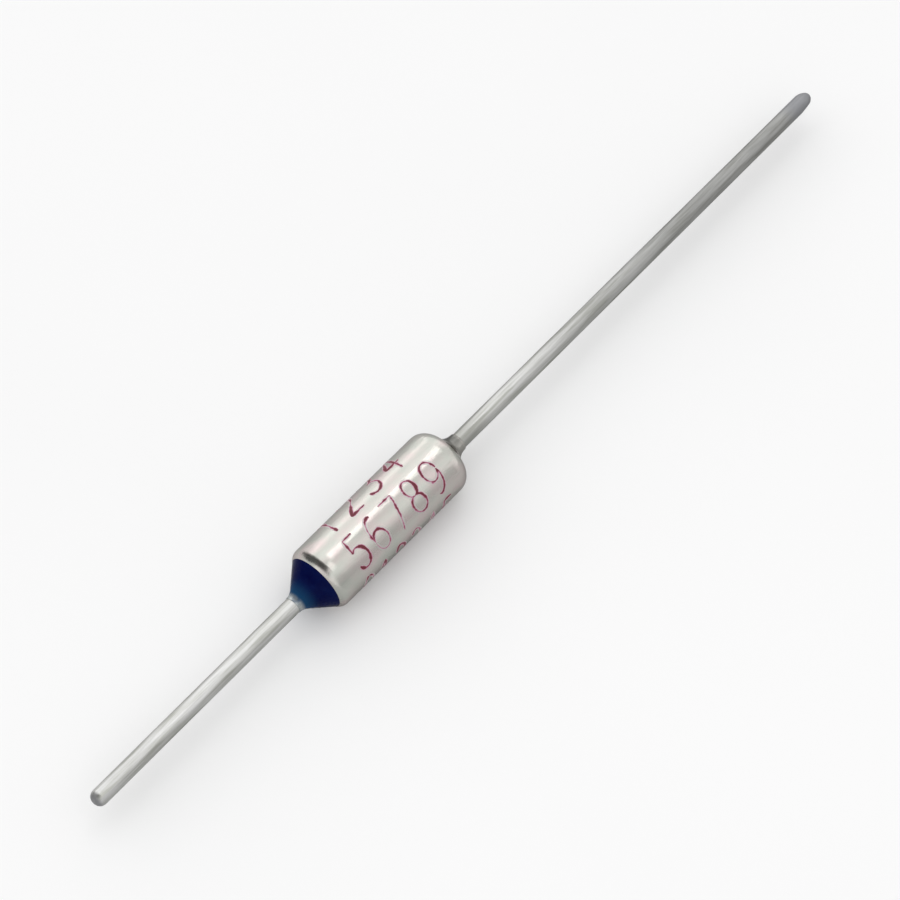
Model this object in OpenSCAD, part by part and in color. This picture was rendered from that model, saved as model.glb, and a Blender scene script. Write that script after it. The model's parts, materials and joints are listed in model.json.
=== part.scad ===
// Axial thermal fuse: a drawn metal case with a lead at each end.
// Inside, a meltable pellet holds a sprung star contact against the isolated lead.
// Lengths are in millimetres. X runs along the fuse, from the isolated lead to the case lead.

/* [Case] */
// Outside diameter of the case
case_d = 4; // [3.6:0.1:5]
// Length of the case from its curled rim to the top of its shoulder
case_len = 10.7; // [10:0.1:13]
// Wall thickness of the drawn case
case_wall = 0.35; // [0.28:0.01:0.42]
// Width of the step in the mouth that the bushing seats on
mouth_step = 0.1; // [0.06:0.01:0.14]
// Outside radius of the shoulder at the closed end
shoulder_r = 0.95; // [0.8:0.05:1.2]
// Outside radius of the rim's curl
curl_r = 0.6; // [0.55:0.05:0.75]
// Depth of the rim's curl along the axis
curl_depth = 0.485; // [0.4:0.005:0.54]

/* [Neck] */
// Wall thickness of the neck where its rounded lip begins
neck_wall = 0.06; // [0.05:0.01:0.12]
// Radius of the hollow curve from the shoulder to the neck's lip
neck_fillet_r = 1.05; // [0.6:0.05:1.2]

/* [Leads] */
// Diameter of both leads
lead_d = 1; // [0.8:0.05:1.2]
// Length of the isolated lead outside the rim
short_lead_len = 17.1; // [10:0.1:30]
// Length of the case lead beyond the top of the shoulder
long_lead_len = 32.6; // [15:0.1:45]
// Diameter of the isolated lead's contact head
short_head_d = 1.6; // [1.4:0.05:1.8]
// Thickness of the isolated lead's contact head
short_head_len = 0.35; // [0.25:0.01:0.5]
// Diameter of the case lead's rivet head
long_head_d = 1.5; // [1.3:0.05:1.6]
// Thickness of the case lead's rivet head
long_head_len = 0.35; // [0.25:0.01:0.5]
// Growth in radius of each lead's shank from the outside to its head
shank_taper = 0.03; // [0.01:0.005:0.05]
// Rounding of the edges of the heads
edge_r = 0.12; // [0.05:0.01:0.2]
// Rounding of the isolated lead's tip, as a share of its radius
tip_share = 0.9; // [0.3:0.05:0.95]
// Rounding of the case lead's pointed tip, as a share of the lead's radius
point_share = 0.7; // [0.4:0.05:0.8]
// Radius of the curve from the lead's side to that tip, as a share of the lead's radius
side_share = 2.2; // [1.6:0.1:3]
// Length of the slanted flat that the cutter left on one side of the point
flat_len = 1.25; // [0.9:0.05:2.5]
// Depth of that flat at the tip
flat_depth = 0.17; // [0.08:0.01:0.25]
// Turn of that flat about the lead's axis, from straight up
flat_turn = 112; // [0:1:180]

/* [Bushing] */
// Thickness of the ceramic flange in the mouth
flange_len = 1.3; // [1:0.05:1.6]
// Wall of the ceramic nose round the lead
nose_wall = 0.35; // [0.28:0.01:0.45]
// Length of the ceramic nose
nose_len = 1.3; // [0.9:0.05:1.6]

/* [Sealing resin] */
// Length of the resin's straight cone
cone_len = 1.53; // [1.1:0.01:2.2]
// Radius of the hollow curve where the resin wets the lead
meniscus_r = 0.85; // [0.5:0.05:1.5]
// Thickness of the resin where it ends on the lead
film = 0.03; // [0.02:0.005:0.08]

/* [Star contact] */
// Thickness of the contact's sheet
star_t = 0.12; // [0.08:0.01:0.18]
// Rise of the fingers from the flat centre to their lands
star_rise = 0.4; // [0.3:0.02:0.55]
// Length of the land at each finger's end
star_land = 0.25; // [0.15:0.01:0.4]
// Number of fingers
fingers = 8; // [6:1:10]
// Width of the slots between the fingers
slot_w = 0.22; // [0.15:0.01:0.3]

/* [Springs] */
// Wire diameter of the trip spring
trip_wire_d = 0.2; // [0.16:0.01:0.24]
// Turns of the trip spring
trip_turns = 4.5; // [3.5:0.5:5]
// How much wider the trip spring is at the bushing than at the contact
trip_flare = 0.2; // [0.1:0.01:0.25]
// Wire diameter of the barrel spring
barrel_wire_d = 0.35; // [0.28:0.01:0.4]
// Turns of the barrel spring
barrel_turns = 5; // [4:0.5:5.5]
// Room between the barrel spring's widest turn and the bore
barrel_room = 0.12; // [0.06:0.01:0.25]

/* [Pellet and discs] */
// Thickness of both discs
disc_t = 0.2; // [0.15:0.01:0.3]
// Length of the meltable pellet
pellet_len = 3.3; // [2.6:0.1:3.8]
// Chamfer of the pellet's edges
pellet_chamfer = 0.2; // [0.12:0.01:0.3]

/* [Fits] */
// Radial gap of the pellet in the bore
pellet_gap = 0.08; // [0.04:0.01:0.15]
// Radial gap of the contact's fingers in the bore
finger_gap = 0.02; // [0.01:0.005:0.05]
// Gap of the ceramic in the mouth and under the curl
bushing_gap = 0.02; // [0.01:0.005:0.04]
// Radial gap of a lead in its hole
lead_gap = 0.02; // [0.01:0.005:0.04]
// Radial gap between the trip spring and what it goes round
trip_gap = 0.07; // [0.04:0.01:0.12]
// Margin by which each disc stays inside what it lies on
disc_margin = 0.05; // [0.03:0.01:0.1]

/* [Hidden] */

// Number of facets drawn on a full circle
round_fn = 96;
// Sides of a spring's wire and rings in one of its turns
wire_sides = 8;
turn_rings = 18;
// Part of a turn that lies flat at each end of a spring
closed_turn = 0.5;
// Overrun of cutting shapes past what they cut
over = 1;

case_r = case_d / 2;
lead_r = lead_d / 2;
bore_r = case_r - case_wall;
mouth_r = bore_r + mouth_step;
mouth_wall = case_wall - mouth_step;

// Places along X, with the origin in the middle of the straight barrel
barrel_len = case_len - curl_depth - shoulder_r;
barrel_start = -barrel_len / 2;
barrel_end = barrel_len / 2;
rim_x = barrel_start - curl_depth;
end_x = barrel_end + shoulder_r;
end_inside_x = end_x - case_wall;

// Curl: centre of its arcs, the angle it turns through, and the outer edge of its lip
curl_c = case_r - curl_r;
curl_angle = asin(curl_depth / curl_r);
lip_r = curl_c + curl_r * cos(curl_angle);

// Neck: a hollow arc that is tangent to the shoulder and to the neck's rounded lip
shoulder_c = case_r - shoulder_r;
neck_r = lead_r + neck_wall;
hollow_c = neck_r + neck_fillet_r;
arcs_apart = shoulder_r + neck_fillet_r;
hollow_x = barrel_end + sqrt(pow(arcs_apart, 2) - pow(hollow_c - shoulder_c, 2));
tangent_x = barrel_end + (hollow_x - barrel_end) * shoulder_r / arcs_apart;
lip_round = neck_wall - lead_gap;
neck_end_x = hollow_x + lip_round;

// Resin: the foot of its cone on the lead, and the end of its hollow curve
foot_r = lead_r + film;
foot_x = rim_x - cone_len;
cone_angle = atan((lip_r - foot_r) / cone_len);
meniscus_len = meniscus_r * tan(cone_angle / 2);
resin_end_x = foot_x - meniscus_len;

// Bushing: its outer corner nests in the curl and its flange seats on the step
corner_r = curl_r - mouth_wall - bushing_gap;
bushing_face_x = barrel_start - corner_r;
step_x = bushing_face_x + flange_len;
nose_r = lead_r + shank_taper + lead_gap + nose_wall;
nose_end_x = step_x + nose_len;

// Leads: radius along each shank, which swells from where it goes in to its head
function short_shank_r(x) = lead_r + shank_taper * (x - resin_end_x) / (nose_end_x - resin_end_x);
function long_shank_r(x) = lead_r + shank_taper * (neck_end_x - x) / (neck_end_x - end_inside_x);

// Stack from the isolated lead's head to the closed end
star_x = nose_end_x + short_head_len;
contact_disc_x = star_x + star_t;
spring_x = contact_disc_x + disc_t;
rivet_x = end_inside_x - long_head_len;
pellet_x = rivet_x - pellet_len;
pellet_disc_x = pellet_x - disc_t;
spring_len = pellet_disc_x - spring_x;
pellet_r = bore_r - pellet_gap;

// Trip spring: clears both the nose and the lead's head
trip_wire_r = trip_wire_d / 2;
trip_len = star_x - step_x;
trip_narrow_r = max(nose_r, short_head_d / 2) + trip_gap + trip_wire_r;
trip_wide_r = trip_narrow_r + trip_flare;

// Star contact: its flat centre takes the trip spring's last turn
star_flat_r = trip_narrow_r + trip_wire_r + disc_margin;
star_tip_r = bore_r - finger_gap;
star_slope = atan(star_rise / (star_tip_r - star_flat_r));
star_inner_flat_r = star_flat_r - star_t * tan(star_slope / 2);
star_inner_rise = star_t + (star_tip_r - star_t - star_inner_flat_r) * tan(star_slope);

// Barrel spring: its end turns lie on the contact disc, and its middle nears the bore
contact_disc_r = star_inner_flat_r - disc_margin;
barrel_wire_r = barrel_wire_d / 2;
barrel_end_r = contact_disc_r - disc_margin - barrel_wire_r;
barrel_mid_r = bore_r - barrel_room - barrel_wire_r;

// Turns a half profile, with its radius along X and its height along Y, about the fuse's axis
module turned() {
    rotate([0, 90, 0])
        rotate_extrude($fn = round_fn)
            children();
}

// Part of a half profile from radius 0 to r, between two places along the axis
module band(r, from_x, to_x) {
    translate([0, from_x])
        square([r, to_x - from_x]);
}

// The same with a straight taper from one radius to the other
module taper(from_r, from_x, to_r, to_x) {
    polygon([[0, from_x], [from_r, from_x], [to_r, to_x], [0, to_x]]);
}

module disc_at(r, x, radius) {
    translate([r, x])
        circle(radius, $fn = round_fn);
}

// A round bar with its edge rounded at one end: side is 1 for the far end and -1 for the near end
module bar_end(r, from_x, to_x, side, edge) {
    edge_x = side > 0 ? to_x : from_x;
    difference() {
        band(r, from_x, to_x);
        difference() {
            translate([r - edge, side > 0 ? edge_x - edge : edge_x - over])
                square([edge + over, edge + over]);
            disc_at(r - edge, edge_x - side * edge, edge);
            band(r - edge, edge_x - edge - over, edge_x + edge + over);
        }
    }
}

module neck() {
    difference() {
        band(hollow_c, tangent_x, hollow_x);
        disc_at(hollow_c, hollow_x, neck_fillet_r);
    }
    disc_at(neck_r - lip_round, hollow_x, lip_round);
}

module curl() {
    reach = 2 * curl_r;
    intersection() {
        difference() {
            disc_at(curl_c, barrel_start, curl_r);
            disc_at(curl_c, barrel_start, curl_r - mouth_wall);
        }
        translate([curl_c, barrel_start])
            polygon([
                [0, 0],
                [reach * cos(curl_angle), -reach * sin(curl_angle)],
                [reach, 0]
            ]);
    }
}

module case() {
    color("silver")
        turned() {
            difference() {
                union() {
                    bar_end(case_r, barrel_start, end_x, 1, shoulder_r);
                    neck();
                }
                band(mouth_r, barrel_start - over, step_x);
                bar_end(bore_r, step_x, end_inside_x, 1, shoulder_r - case_wall);
                taper(
                    long_shank_r(barrel_end) + lead_gap, barrel_end,
                    long_shank_r(neck_end_x + over) + lead_gap, neck_end_x + over
                );
            }
            curl();
        }
}

// Half profile of the case lead outside the neck: a straight bar that curves in to a rounded point
module pointed_bar(tip_x) {
    round_r = point_share * lead_r;
    side_r = side_share * lead_r;
    apart = side_r - round_r;
    run = sqrt(pow(apart, 2) - pow(side_r - lead_r, 2));
    round_x = tip_x - round_r;
    side_x = round_x - run;
    touch_x = round_x + round_r * run / apart;
    band(lead_r, neck_end_x, side_x);
    intersection() {
        disc_at(lead_r - side_r, side_x, side_r);
        band(lead_r, side_x, touch_x);
    }
    intersection() {
        disc_at(0, round_x, round_r);
        band(round_r, touch_x, tip_x);
    }
}

// What the cutter took off one side of the point that ends at tip_x
module cutter_flat(tip_x) {
    slope = flat_depth / flat_len;
    rotate([90 + flat_turn, 0, 0])
        linear_extrude(height = 2 * lead_d, center = true)
            polygon([
                [tip_x - flat_len - over, lead_r + slope * over],
                [tip_x + over, lead_r - slope * (flat_len + over)],
                [tip_x + over, lead_d],
                [tip_x - flat_len - over, lead_d]
            ]);
}

module case_lead() {
    tip_x = end_x + long_lead_len;
    color("lightgray")
        difference() {
            turned() {
                bar_end(long_head_d / 2, rivet_x, end_inside_x, -1, edge_r);
                taper(long_shank_r(end_inside_x), end_inside_x, lead_r, neck_end_x);
                pointed_bar(tip_x);
            }
            cutter_flat(tip_x);
        }
}

module isolated_lead() {
    color("lightgray")
        turned() {
            bar_end(lead_r, rim_x - short_lead_len, resin_end_x, -1, tip_share * lead_r);
            taper(lead_r, resin_end_x, short_shank_r(nose_end_x), nose_end_x);
            bar_end(short_head_d / 2, nose_end_x, star_x, 1, edge_r);
        }
}

// Half profile of the resin: a straight cone from the lip, with a hollow curve onto the lead
module resin_outline() {
    blend_r = foot_r + meniscus_len * sin(cone_angle);
    blend_x = foot_x + meniscus_len * cos(cone_angle);
    difference() {
        polygon([
            [short_shank_r(bushing_face_x), bushing_face_x],
            [curl_c, bushing_face_x],
            [curl_c, barrel_start],
            [lip_r, rim_x],
            [blend_r, blend_x],
            [foot_r, resin_end_x],
            [lead_r, resin_end_x]
        ]);
        disc_at(foot_r + meniscus_r, resin_end_x, meniscus_r);
    }
}

module sealing_resin() {
    color("midnightblue")
        turned()
            difference() {
                resin_outline();
                disc_at(curl_c, barrel_start, corner_r);
            }
}

module ceramic_bushing() {
    flange_r = mouth_r - bushing_gap;
    color("white")
        turned()
            difference() {
                union() {
                    band(curl_c, bushing_face_x, step_x);
                    band(flange_r, barrel_start, step_x);
                    intersection() {
                        disc_at(curl_c, barrel_start, corner_r);
                        band(case_r, bushing_face_x, barrel_start);
                    }
                    band(nose_r, step_x, nose_end_x);
                }
                taper(
                    short_shank_r(bushing_face_x - over) + lead_gap, bushing_face_x - over,
                    short_shank_r(nose_end_x + over) + lead_gap, nose_end_x + over
                );
            }
}

module star_contact() {
    slot_start = star_flat_r + disc_margin;
    slot_len = case_r - slot_start;
    color("gainsboro")
        difference() {
            turned()
                translate([0, star_x])
                    polygon([
                        [0, 0],
                        [star_flat_r, 0],
                        [star_tip_r, star_rise],
                        [star_tip_r, star_inner_rise + star_land],
                        [star_tip_r - star_t, star_inner_rise + star_land],
                        [star_tip_r - star_t, star_inner_rise],
                        [star_inner_flat_r, star_t],
                        [0, star_t]
                    ]);
            for (i = [0 : fingers - 1])
                rotate([360 * i / fingers, 0, 0])
                    translate([star_x - over, -slot_w / 2, slot_start])
                        cube([2 * over + star_rise, slot_w, slot_len]);
        }
}

// Share of a spring's rise that is reached after some turns, flat over its closed ends
function rise_at(turn, turns) =
    min(1, max(0, (turn - closed_turn) / (turns - 2 * closed_turn)));

// One ring of wire at a turn count: radius of the coil, place along X and the wire's own radius
function ring(turn, coil_r, x, wire_r) = [
    for (i = [0 : wire_sides - 1])
        let (a = 360 * i / wire_sides, r = coil_r + wire_r * cos(a))
            [x + wire_r * sin(a), r * cos(360 * turn), r * sin(360 * turn)]
];

// A wire through rings of points, closed at both ends
module wire(rings) {
    last = len(rings) - 1;
    points = [for (r = rings) each r];
    walls = [
        for (k = [0 : last - 1], i = [0 : wire_sides - 1])
            let (j = (i + 1) % wire_sides, a = k * wire_sides, b = a + wire_sides)
                each [[a + i, b + j, b + i], [a + i, a + j, b + j]]
    ];
    near_cap = [for (i = [wire_sides - 1 : -1 : 0]) i];
    far_cap = [for (i = [0 : wire_sides - 1]) last * wire_sides + i];
    polyhedron(points, concat(walls, [near_cap, far_cap]));
}

module trip_spring() {
    count = ceil(trip_turns * turn_rings);
    rise = trip_len - trip_wire_d;
    color("gray")
        wire([
            for (k = [0 : count])
                let (turn = trip_turns * k / count, up = rise_at(turn, trip_turns))
                    ring(
                        turn,
                        trip_wide_r + (trip_narrow_r - trip_wide_r) * up,
                        step_x + trip_wire_r + rise * up,
                        trip_wire_r
                    )
        ]);
}

module barrel_spring() {
    count = ceil(barrel_turns * turn_rings);
    rise = spring_len - barrel_wire_d;
    color("dimgray")
        wire([
            for (k = [0 : count])
                let (turn = barrel_turns * k / count)
                    ring(
                        turn,
                        barrel_end_r + (barrel_mid_r - barrel_end_r) * sin(180 * k / count),
                        spring_x + barrel_wire_r + rise * rise_at(turn, barrel_turns),
                        barrel_wire_r
                    )
        ]);
}

module contact_disc() {
    color("goldenrod")
        turned()
            band(contact_disc_r, contact_disc_x, spring_x);
}

module pellet_disc() {
    color("goldenrod")
        turned()
            band(pellet_r - disc_margin, pellet_disc_x, pellet_x);
}

module thermal_pellet() {
    face_r = pellet_r - pellet_chamfer;
    color("ivory")
        turned()
            polygon([
                [0, pellet_x],
                [face_r, pellet_x],
                [pellet_r, pellet_x + pellet_chamfer],
                [pellet_r, rivet_x - pellet_chamfer],
                [face_r, rivet_x],
                [0, rivet_x]
            ]);
}

case();
case_lead();
isolated_lead();
sealing_resin();
ceramic_bushing();
star_contact();
trip_spring();
contact_disc();
barrel_spring();
pellet_disc();
thermal_pellet();
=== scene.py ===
"""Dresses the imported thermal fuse: plated metal, resin, a worn stamped print, studio and camera."""

import json
import math

import bmesh
import bpy
from mathutils import Matrix, Vector


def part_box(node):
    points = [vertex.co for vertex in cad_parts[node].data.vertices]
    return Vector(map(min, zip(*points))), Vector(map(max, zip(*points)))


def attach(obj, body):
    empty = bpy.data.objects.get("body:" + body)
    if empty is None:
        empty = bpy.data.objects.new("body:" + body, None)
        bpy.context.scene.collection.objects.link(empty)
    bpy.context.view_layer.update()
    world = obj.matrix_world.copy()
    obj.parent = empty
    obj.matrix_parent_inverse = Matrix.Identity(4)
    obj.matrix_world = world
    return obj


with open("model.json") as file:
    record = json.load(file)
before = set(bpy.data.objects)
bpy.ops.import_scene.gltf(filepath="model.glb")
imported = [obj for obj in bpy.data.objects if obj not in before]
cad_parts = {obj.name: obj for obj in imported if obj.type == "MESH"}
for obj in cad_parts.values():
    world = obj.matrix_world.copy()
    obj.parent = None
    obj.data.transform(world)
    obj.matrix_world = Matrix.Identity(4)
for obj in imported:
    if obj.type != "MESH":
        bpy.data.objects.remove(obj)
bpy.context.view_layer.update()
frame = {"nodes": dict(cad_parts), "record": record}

MM = 0.001

# Places taken from the frame, in millimetres
case_low, case_high = (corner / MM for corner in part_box("case"))
resin_low, _ = (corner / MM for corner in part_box("sealing_resin"))
lead_low, lead_high = (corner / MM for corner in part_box("case_lead"))
stub_low, _ = (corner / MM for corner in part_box("isolated_lead"))
CASE_R = case_high.y
FLOOR_Z = case_low.z

# Stamped print: size of the ink's strokes and the place of each line of numbers on the case
INK_HEIGHT = 0.007
INK_FILM = 0.002
INK_DEPTH = 0.02
INK_WIDTH = 0.26
INK_STEP = 0.1
# Share of a stroke's width at its ends, and what each step away from an end adds to it
INK_END = 0.55
INK_GROWTH = 0.25
# Swings of a stroke's width: size, start for each stroke and turn for each step
INK_SWINGS = [(0.1, 2.1, 0.5), (0.05, 5.3, 1.3)]
ARC_STEP = 14
GLYPH_HEIGHT = 2.05
LINE_PITCH = 78
MIDDLE_LINE = -33
PRINT_LINES = [
    {"text": "1234", "turn": MIDDLE_LINE + LINE_PITCH, "start": -3.3, "pitch": 1.7, "width": 1.1},
    {"text": "56789", "turn": MIDDLE_LINE, "start": -3.3, "pitch": 1.52, "width": 1.05},
    {"text": "012345", "turn": MIDDLE_LINE - LINE_PITCH, "start": -3.4, "pitch": 1.27, "width": 0.85},
]

# Reflectance of the plated metal at a grazing angle, as a share of a polished metal's
EDGE_TINT = (0.62, 0.62, 0.62, 1)
# Values between which most of a noise texture lies
NOISE_LOW, NOISE_HIGH = 0.3, 0.7

# Studio: radiance of the sky by how far it lies toward +Y, from -1 to 1
SKY = [
    (-1, 0.5), (-0.9, 0.55), (-0.84, 0.67), (-0.75, 0.85), (-0.6, 0.99), (-0.45, 0.98), (-0.3, 0.87),
    (-0.1, 0.84), (0.1, 0.9), (0.3, 1.2), (0.46, 1.24), (0.6, 1.12), (0.74, 1.16), (0.84, 1.5),
    (0.92, 1.05), (1, 0.9),
]
# Lamps in millimetres, with the radiance that each adds to the sky
LAMPS = {
    "strip_light": {"place": (420, 155, 980), "aim": (0, 0, 0), "size": (440, 340), "radiance": 0.75},
    "window_light": {"place": (5, -39, 146), "aim": (-5, 0, 1), "size": (20, 70), "radiance": 0.9},
}
FLOOR_REACH = 3000
# Grey cards on the floor that only reflections show: the shade of each and its span along Y
FLAG_REACH = 900
FLAG_Z = -1.95
FLAGS = {"flag_front": (0.56, (-FLAG_REACH, -0.5)), "flag_back": (0.7, (0.5, FLAG_REACH))}
# Dark corner of the sky beyond the resin end, that only reflections show:
# where it sets in and fades out along X, where it sets in along Y, and its share of the sky's light
CORNER_NEAR = (0.02, -0.16)
CORNER_FAR = (-0.93, -0.8)
CORNER_SIDE = (-0.4, -0.2)
CORNER_SHARE = 0.06

# Camera: it looks down on the fuse, which lies flat along X
CAMERA_AZIMUTH = -48.6
CAMERA_ELEVATION = 60.8
CAMERA_DISTANCE = 164 * MM
CAMERA_TARGET = Vector((5.875, 0, 0)) * MM
CAMERA_LENS = 118
CAMERA_SENSOR = 36
CAMERA_CLIP = (0.001, 10)


class Tree:
    """A material under construction, with short names for the nodes that it is built from."""

    def __init__(self, name):
        self.material = bpy.data.materials.new(name)
        self.material.use_nodes = True
        self.nodes = self.material.node_tree.nodes
        self.shader = self.nodes["Principled BSDF"]

    def node(self, kind, inputs=None, **settings):
        made = self.nodes.new(kind)
        for key, value in settings.items():
            setattr(made, key, value)
        for key, value in (inputs or {}).items():
            if hasattr(value, "is_output"):
                self.link(value, made.inputs[key])
            else:
                made.inputs[key].default_value = value
        return made

    def link(self, output, target):
        self.material.node_tree.links.new(output, target)

    def set(self, **values):
        """Sets sockets of the shader. A name's underscores stand for spaces."""
        for key, value in values.items():
            socket = self.shader.inputs[key.replace("_", " ")]
            if hasattr(value, "is_output"):
                self.link(value, socket)
            else:
                socket.default_value = value

    def position(self):
        """Place on the object in millimetres."""
        coords = self.node("ShaderNodeTexCoord").outputs["Object"]
        scaled = self.node("ShaderNodeVectorMath", {0: coords, 1: (1 / MM,) * 3}, operation="MULTIPLY")
        return scaled.outputs["Vector"]

    def noise(self, per_mm, detail=3, roughness=0.55):
        """Noise with its own frequency along X, Y and Z."""
        stretched = self.node(
            "ShaderNodeVectorMath", {0: self.position(), 1: per_mm}, operation="MULTIPLY"
        )
        texture = self.node(
            "ShaderNodeTexNoise",
            {
                "Vector": stretched.outputs["Vector"],
                "Scale": 1,
                "Detail": detail,
                "Roughness": roughness,
            },
        )
        return texture.outputs["Fac"]

    def along(self, axis, start, end):
        """Goes from 0 to 1 between two places along an axis."""
        place = self.node("ShaderNodeSeparateXYZ", {"Vector": self.position()}).outputs[axis]
        return self.remap(place, start, end, 0, 1)

    def remap(self, value, low, high, to_low, to_high):
        ranged = self.node(
            "ShaderNodeMapRange",
            {"Value": value, "From Min": low, "From Max": high, "To Min": to_low, "To Max": to_high},
            interpolation_type="SMOOTHSTEP",
        )
        return ranged.outputs["Result"]

    def math(self, operation, a, b):
        return self.node("ShaderNodeMath", {0: a, 1: b}, operation=operation).outputs["Value"]

    def ramp(self, fac, stops):
        """Colour for a value, from (place, colour) stops."""
        made = self.node("ShaderNodeValToRGB", {"Fac": fac})
        elements = made.color_ramp.elements
        while len(elements) < len(stops):
            elements.new(1)
        for element, (place, colour) in zip(elements, stops):
            element.position = place
            element.color = (*colour, 1)
        return made.outputs["Color"]

    def tones(self, per_mm, detail, dark, pale):
        """Noise between two colours."""
        return self.ramp(self.noise(per_mm, detail), [(NOISE_LOW, dark), (NOISE_HIGH, pale)])

    def spread(self, per_mm, detail, low, high):
        """Noise between two numbers."""
        return self.remap(self.noise(per_mm, detail), NOISE_LOW, NOISE_HIGH, low, high)

    def mix(self, fac, a, b):
        made = self.node("ShaderNodeMix", {"Factor": fac}, data_type="RGBA")
        colours = [socket for socket in made.inputs if socket.type == "RGBA"]
        for socket, value in zip(colours, (a, b)):
            if hasattr(value, "is_output"):
                self.link(value, socket)
            else:
                socket.default_value = (*value, 1)
        return next(socket for socket in made.outputs if socket.type == "RGBA")

    def bump(self, height, depth_mm, strength=1, normal=None):
        inputs = {"Height": height, "Distance": depth_mm * MM, "Strength": strength}
        if normal:
            inputs["Normal"] = normal
        return self.node("ShaderNodeBump", inputs).outputs["Normal"]


def tinned_case():
    """Satin tin plate on the drawn case, with faint tints, draw marks and a painted dark reflection at
    the neck.
    """
    tree = Tree("tinned_case")
    tints = [(0.36, (0.61, 0.62, 0.57)), (0.5, (0.655, 0.625, 0.585)), (0.64, (0.69, 0.61, 0.59))]
    plate = tree.ramp(tree.noise((0.55, 1.0, 1.0), 2), tints)
    # Painted dark reflection in the neck's hollow: darker toward +Y, lighter toward -Y, a little weaker
    # at the lip
    neck = tree.along("X", case_high.x - 0.95, case_high.x - 0.7)
    lip = tree.along("X", case_high.x - 0.2, case_high.x - 0.06)
    hollow = tree.math("SUBTRACT", neck, tree.math("MULTIPLY", lip, 0.15))
    painted_neck_reflection = tree.mix(tree.along("Y", -0.7, 0.4), (0.42, 0.41, 0.38), (0.16, 0.16, 0.15))
    tree.set(Base_Color=tree.mix(hollow, plate, painted_neck_reflection), Metallic=1.0, Specular_Tint=EDGE_TINT)
    satin = tree.spread((1.2, 2.2, 2.2), 4, 0.15, 0.23)
    draw = tree.along("X", case_low.x + 1.02, case_low.x - 0.3)
    tree.set(Roughness=tree.math("ADD", satin, tree.math("MULTIPLY", draw, 0.08)))
    dents = tree.bump(tree.noise((0.5, 0.8, 0.8), 2), 0.03)
    shoulder = tree.along("X", case_high.x - 3.6, case_high.x - 2.2)
    creases = tree.math("MULTIPLY", shoulder, tree.noise((0.7, 2.6, 2.6), 3))
    creased = tree.bump(creases, 0.03, normal=dents)
    drawn = tree.bump(tree.math("MULTIPLY", draw, -1), 0.14, normal=creased)
    tree.set(Normal=tree.bump(tree.noise((1.6, 9, 9), 4), 0.004, normal=drawn))
    return tree.material


def tinned_lead():
    """Drawn and tinned wire, streaked along its length, duller far from the case, with bare cut ends."""
    tree = Tree("tinned_lead")
    streaks = tree.noise((0.3, 5, 5), 3)
    clean = tree.ramp(
        streaks,
        [(0.36, (0.5, 0.505, 0.465)), (0.5, (0.63, 0.63, 0.61)), (0.64, (0.72, 0.72, 0.71))],
    )
    dull = tree.ramp(
        streaks,
        [(0.36, (0.3, 0.3, 0.285)), (0.5, (0.38, 0.38, 0.37)), (0.64, (0.44, 0.44, 0.43))],
    )
    far = tree.along("X", lead_low.x, lead_high.x - 10)
    wire = tree.mix(far, clean, dull)
    # Darker next to the case's closed end
    root = tree.math("MULTIPLY", tree.along("X", case_high.x + 3.5, case_high.x), tree.along("X", 0, 1))
    wire = tree.mix(tree.math("MULTIPLY", root, 0.6), wire, (0.3, 0.3, 0.27))
    point = tree.along("X", lead_high.x - 2.9, lead_high.x - 1.4)
    wire = tree.mix(point, wire, (0.335, 0.338, 0.352))
    stub = tree.along("X", stub_low.x + 0.4, stub_low.x + 0.1)
    tree.set(Base_Color=tree.mix(stub, wire, (0.42, 0.42, 0.43)), Metallic=1.0, Specular_Tint=EDGE_TINT)
    satin = tree.spread((0.3, 4, 4), 3, 0.28, 0.42)
    dulled = tree.math("ADD", tree.math("MULTIPLY", far, 0.16), tree.math("MULTIPLY", stub, 0.45))
    tree.set(Roughness=tree.math("ADD", satin, dulled))
    waves = tree.bump(tree.noise((0.3, 1.2, 1.2), 2), 0.03)
    tree.set(Normal=tree.bump(tree.noise((0.3, 6, 6), 4), 0.018, normal=waves))
    return tree.material


def blue_resin():
    """Dark blue resin, teal where it thins out, with a ragged last film that the lead shows through."""
    tree = Tree("blue_resin")
    cloud = tree.ramp(
        tree.noise((1.2, 1.2, 1.2), 2),
        [(0.35, (0.001, 0.002, 0.035)), (0.65, (0.002, 0.006, 0.05))],
    )
    thin = tree.mix(tree.along("X", resin_low.x + 1.1, resin_low.x + 0.3), cloud, (0.008, 0.045, 0.11))
    ragged = tree.remap(tree.noise((1.6, 1.6, 1.6), 2), 0.38, 0.6, 0.2, 1)
    film = tree.math("MULTIPLY", tree.along("X", resin_low.x + 0.42, resin_low.x + 0.06), ragged)
    tree.set(Base_Color=tree.mix(film, thin, (0.47, 0.5, 0.5)), Metallic=film, Specular_IOR_Level=0.03)
    tree.set(Roughness=tree.spread((3, 3, 3), 2, 0.2, 0.32))
    tree.set(Normal=tree.bump(tree.noise((0.9, 0.9, 0.9), 1), 0.03))
    return tree.material


def white_ceramic():
    tree = Tree("white_ceramic")
    tree.set(Base_Color=tree.tones((2, 2, 2), 3, (0.80, 0.78, 0.73), (0.86, 0.85, 0.81)))
    tree.set(Roughness=tree.spread((6, 6, 6), 2, 0.5, 0.7))
    tree.set(Normal=tree.bump(tree.noise((12, 12, 12), 3), 0.006))
    return tree.material


def silver_contact():
    tree = Tree("silver_contact")
    tree.set(Base_Color=tree.tones((3, 3, 3), 3, (0.83, 0.81, 0.77), (0.88, 0.87, 0.85)))
    tree.set(Metallic=1.0, Roughness=tree.spread((5, 5, 5), 3, 0.14, 0.26))
    return tree.material


def spring_steel():
    tree = Tree("spring_steel")
    tree.set(Base_Color=tree.tones((2, 2, 2), 3, (0.37, 0.37, 0.38), (0.46, 0.46, 0.46)))
    tree.set(Metallic=1.0, Roughness=tree.spread((7, 7, 7), 3, 0.26, 0.4))
    return tree.material


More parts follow.
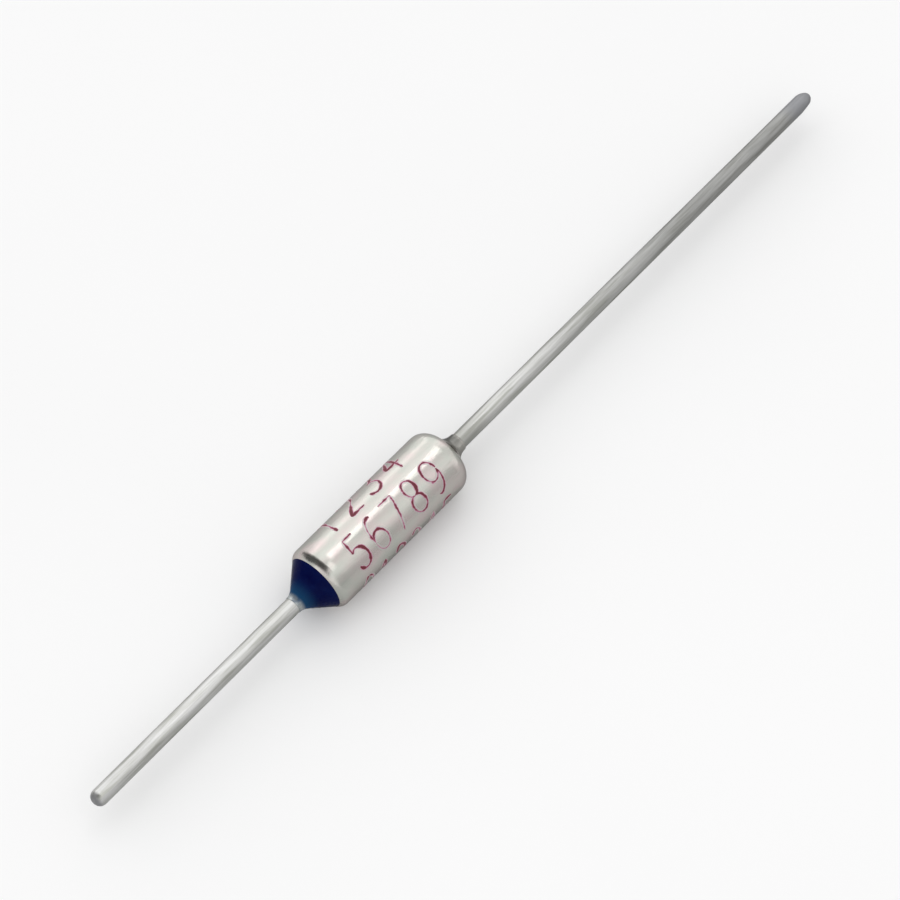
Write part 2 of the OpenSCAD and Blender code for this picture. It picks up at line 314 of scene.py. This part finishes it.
def brass_disc():
    tree = Tree("brass_disc")
    tree.set(Base_Color=tree.tones((2, 2, 2), 3, (0.70, 0.53, 0.25), (0.80, 0.64, 0.33)))
    tree.set(Metallic=1.0, Roughness=tree.spread((1, 9, 9), 3, 0.24, 0.4))
    return tree.material


def pellet():
    tree = Tree("pellet")
    tree.set(Base_Color=tree.tones((4, 4, 4), 4, (0.80, 0.75, 0.62), (0.89, 0.86, 0.76)))
    tree.set(Roughness=tree.spread((9, 9, 9), 2, 0.7, 0.9))
    tree.set(Normal=tree.bump(tree.noise((14, 14, 14), 3), 0.01))
    return tree.material


def red_ink():
    """Stamped ink, dark along a stroke's middle, pink at its sides and worn through in places."""
    tree = Tree("red_ink")
    middle = tree.node("ShaderNodeAttribute", attribute_name="middle").outputs["Fac"]
    wear = tree.remap(tree.noise((1.1, 1.1, 1.1), 4, 0.6), 0.34, 0.64, 0.25, -1.15)
    ink = tree.math("ADD", tree.math("MULTIPLY", middle, 1.75), wear)
    stops = [
        (0.1, (0.62, 0.6, 0.57)),
        (0.3, (0.58, 0.36, 0.45)),
        (0.55, (0.44, 0.14, 0.24)),
        (0.85, (0.22, 0.016, 0.04)),
        (1.0, (0.13, 0.008, 0.018)),
    ]
    tree.set(Base_Color=tree.ramp(ink, stops), Metallic=tree.remap(ink, 0.15, 0.55, 1, 0))
    tree.set(Roughness=tree.spread((5, 5, 5), 2, 0.3, 0.5))
    tree.set(Normal=tree.bump(tree.noise((9, 9, 9), 3), 0.004))
    return tree.material


def paper_floor():
    tree = Tree("paper_floor")
    tree.set(Base_Color=tree.tones((0.02, 0.02, 0.02), 2, (0.91,) * 3, (0.93,) * 3))
    tree.set(Roughness=0.9, Specular_IOR_Level=0.0)
    return tree.material


def flag_cloth(name, shade):
    tree = Tree(name)
    tree.set(Base_Color=tree.tones((0.05, 0.05, 0.05), 2, (0.9 * shade,) * 3, (1.1 * shade,) * 3))
    tree.set(Roughness=1.0, Specular_IOR_Level=0.0)
    return tree.material


def arc(x, y, rx, ry, start, end):
    """Points of an elliptic arc, with its angles in degrees."""
    count = max(2, round(abs(end - start) / ARC_STEP))
    angles = [math.radians(start + (end - start) * k / count) for k in range(count + 1)]
    return [(x + rx * math.cos(a), y + ry * math.sin(a)) for a in angles]


# Plain numbers as strokes in a box of width 1 and height 1
GLYPHS = {
    "0": [arc(0.5, 0.5, 0.44, 0.5, 95, 445)],
    "1": [[(0.2, 0.76), (0.55, 1)], [(0.55, 1), (0.55, 0)]],
    "2": [arc(0.5, 0.7, 0.42, 0.3, 170, -38), [(0.83, 0.52), (0.05, 0)], [(0.05, 0), (0.95, 0)]],
    "3": [arc(0.45, 0.75, 0.4, 0.25, 150, -88), arc(0.45, 0.26, 0.46, 0.26, 88, -150)],
    "4": [[(0.7, 1), (0.05, 0.32)], [(0.05, 0.32), (0.97, 0.32)], [(0.7, 1), (0.7, 0)]],
    "5": [[(0.88, 1), (0.22, 1)], [(0.22, 1), (0.15, 0.56)], arc(0.46, 0.32, 0.45, 0.32, 132, -150)],
    "6": [arc(0.62, 0.45, 0.56, 0.55, 75, 182), arc(0.5, 0.3, 0.43, 0.3, 175, -180)],
    "7": [[(0.05, 1), (0.95, 1)], [(0.95, 1), (0.4, 0)]],
    "8": [arc(0.5, 0.75, 0.36, 0.25, -80, 275), arc(0.5, 0.26, 0.44, 0.26, 95, 445)],
    "9": [arc(0.5, 0.7, 0.43, 0.3, -5, 350), arc(0.38, 0.55, 0.56, 0.55, 5, -100)],
}


def resample(points):
    """The same line in short steps, so that it can follow the case."""
    line = [Vector(points[0])]
    for a, b in zip(points, points[1:]):
        a, b = Vector(a), Vector(b)
        steps = max(1, math.ceil((b - a).length / INK_STEP))
        line += [a.lerp(b, k / steps) for k in range(1, steps + 1)]
    return line


def on_case(point, radius):
    """A place (along X, round the case) in millimetres on a cylinder about the axis, in metres."""
    turn = point.y / CASE_R
    return Vector((point.x, radius * math.sin(turn), radius * math.cos(turn))) * MM


def add_stroke(mesh, points, seed):
    """One closed ribbon of ink, uneven in width, thin at its ends and marked along its middle."""
    middle = mesh.verts.layers.float["middle"]
    line = resample(points)
    rings = []
    for k, point in enumerate(line):
        ahead = line[min(k + 1, len(line) - 1)] - line[max(k - 1, 0)]
        side = Vector((-ahead.y, ahead.x)).normalized()
        ends = min(1, INK_END + INK_GROWTH * min(k, len(line) - 1 - k))
        uneven = sum((size * math.sin(start * seed + turn * k) for size, start, turn in INK_SWINGS), 1)
        half = side * INK_WIDTH / 2 * ends * uneven
        corners = [
            (point - half, CASE_R - INK_DEPTH),
            (point + half, CASE_R - INK_DEPTH),
            (point + half, CASE_R + INK_FILM),
            (point, CASE_R + INK_HEIGHT),
            (point - half, CASE_R + INK_FILM),
        ]
        rings.append([mesh.verts.new(on_case(*corner)) for corner in corners])
        rings[-1][3][middle] = 1
    for a, b in zip(rings, rings[1:]):
        for i in range(len(a)):
            j = (i + 1) % len(a)
            mesh.faces.new((a[i], a[j], b[j], b[i]))
    mesh.faces.new(rings[0])
    mesh.faces.new(reversed(rings[-1]))


def print_line(number, spec, material):
    """One line of plain numbers, wrapped round the case with their tops toward +Y."""
    mesh = bmesh.new()
    mesh.verts.layers.float.new("middle")
    base = math.radians(spec["turn"]) * CASE_R - GLYPH_HEIGHT / 2
    for place, character in enumerate(spec["text"]):
        left = spec["start"] + place * spec["pitch"]
        for index, stroke in enumerate(GLYPHS[character]):
            points = [(left + x * spec["width"], base + y * GLYPH_HEIGHT) for x, y in stroke]
            add_stroke(mesh, points, 7 * number + 3 * place + index)
    bmesh.ops.recalc_face_normals(mesh, faces=mesh.faces)
    data = bpy.data.meshes.new(f"print_line_{number}")
    mesh.to_mesh(data)
    mesh.free()
    piece = bpy.data.objects.new(f"print_line_{number}", data)
    piece.data.materials.append(material)
    bpy.context.scene.collection.objects.link(piece)
    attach(piece, "root")


def dress_nodes():
    """Gives each CAD node the material of its slot in the record."""
    makers = [
        tinned_case,
        tinned_lead,
        blue_resin,
        white_ceramic,
        silver_contact,
        spring_steel,
        brass_disc,
        pellet,
    ]
    finishes = {maker.__name__: maker() for maker in makers}
    for subpart in frame["record"]["subparts"]:
        node = frame["nodes"][subpart["node"]]
        node.data.materials.clear()
        node.data.materials.append(finishes[subpart["material_slot"]])


def card(name, reach, span, height, material):
    """A level card of the studio: its reach along X, span along Y and height, in millimetres."""
    corners = [(x, y, height) for y in span for x in (-reach, reach)]
    data = bpy.data.meshes.new(name)
    data.from_pydata([Vector(corner) * MM for corner in corners], [], [(0, 1, 3, 2)])
    data.materials.append(material)
    made = bpy.data.objects.new(name, data)
    bpy.context.scene.collection.objects.link(made)
    return made


def flag(name, shade, span):
    """A grey card on the floor that only reflections show."""
    made = card(name, FLAG_REACH, span, FLAG_Z, flag_cloth(name, shade))
    made.visible_camera = False
    made.visible_diffuse = False
    made.visible_shadow = False


def softbox(name, place, aim, size, radiance):
    """A lamp in millimetres, with its first side along X, that glows at the given radiance."""
    back = (Vector(place) - Vector(aim)).normalized()
    first = (Vector((1, 0, 0)) - back * back.x).normalized()
    area = size[0] * size[1] * MM * MM
    data = bpy.data.lights.new(name, "AREA")
    data.shape = "RECTANGLE"
    data.size = size[0] * MM
    data.size_y = size[1] * MM
    data.energy = radiance * math.pi * area
    lamp = bpy.data.objects.new(name, data)
    lamp.location = Vector(place) * MM
    lamp.rotation_euler = Matrix((first, back.cross(first), back)).transposed().to_euler()
    bpy.context.scene.collection.objects.link(lamp)


def dark_corner(nodes, link, split):
    """Strength of the sky: 1, apart from the dark corner that only reflections show."""
    corner = nodes.new("ShaderNodeLightPath").outputs["Is Glossy Ray"]
    for axis, bounds in (("X", CORNER_NEAR), ("X", CORNER_FAR), ("Y", CORNER_SIDE)):
        span = nodes.new("ShaderNodeMapRange")
        span.inputs["From Min"].default_value = bounds[0]
        span.inputs["From Max"].default_value = bounds[1]
        link(split.outputs[axis], span.inputs["Value"])
        link(corner, span.inputs["To Max"])
        corner = span.outputs["Result"]
    strength = nodes.new("ShaderNodeMapRange")
    strength.inputs["To Min"].default_value = 1
    strength.inputs["To Max"].default_value = CORNER_SHARE
    link(corner, strength.inputs["Value"])
    return strength.outputs["Result"]


def sky():
    """Even light that falls off toward the -Y side, with a dark corner beyond the resin end."""
    world = bpy.data.worlds.new("sky")
    bpy.context.scene.world = world
    world.use_nodes = True
    nodes, link = world.node_tree.nodes, world.node_tree.links.new
    direction = nodes.new("ShaderNodeTexCoord").outputs["Generated"]
    split = nodes.new("ShaderNodeSeparateXYZ")
    share = nodes.new("ShaderNodeMapRange")
    share.inputs["From Min"].default_value = -1
    ramp = nodes.new("ShaderNodeValToRGB")
    elements = ramp.color_ramp.elements
    while len(elements) < len(SKY):
        elements.new(1)
    for element, (toward_y, radiance) in zip(elements, SKY):
        element.position = (toward_y + 1) / 2
        element.color = (radiance, radiance, radiance, 1)
    link(direction, split.inputs["Vector"])
    link(split.outputs["Y"], share.inputs["Value"])
    link(share.outputs["Result"], ramp.inputs["Fac"])
    link(ramp.outputs["Color"], nodes["Background"].inputs["Color"])
    link(dark_corner(nodes, link, split), nodes["Background"].inputs["Strength"])


def studio():
    """White paper floor, grey floor cards for reflections, a strip light, a window light and the sky."""
    card("floor", FLOOR_REACH, (-FLOOR_REACH, FLOOR_REACH), FLOOR_Z, paper_floor())
    for name, (shade, span) in FLAGS.items():
        flag(name, shade, span)
    for name, lamp in LAMPS.items():
        softbox(name, **lamp)
    sky()


def camera():
    azimuth, elevation = math.radians(CAMERA_AZIMUTH), math.radians(CAMERA_ELEVATION)
    back = Vector((
        math.sin(azimuth) * math.cos(elevation),
        -math.cos(azimuth) * math.cos(elevation),
        math.sin(elevation),
    ))
    data = bpy.data.cameras.new("camera")
    data.lens = CAMERA_LENS
    data.sensor_width = CAMERA_SENSOR
    data.clip_start, data.clip_end = CAMERA_CLIP
    made = bpy.data.objects.new("camera", data)
    made.location = CAMERA_TARGET + back * CAMERA_DISTANCE
    made.rotation_euler = (-back).to_track_quat("-Z", "Y").to_euler()
    bpy.context.scene.collection.objects.link(made)
    bpy.context.scene.camera = made


dress_nodes()
ink = red_ink()
for number, spec in enumerate(PRINT_LINES, 1):
    print_line(number, spec, ink)
studio()
camera()
bpy.context.scene.view_settings.view_transform = "Standard"
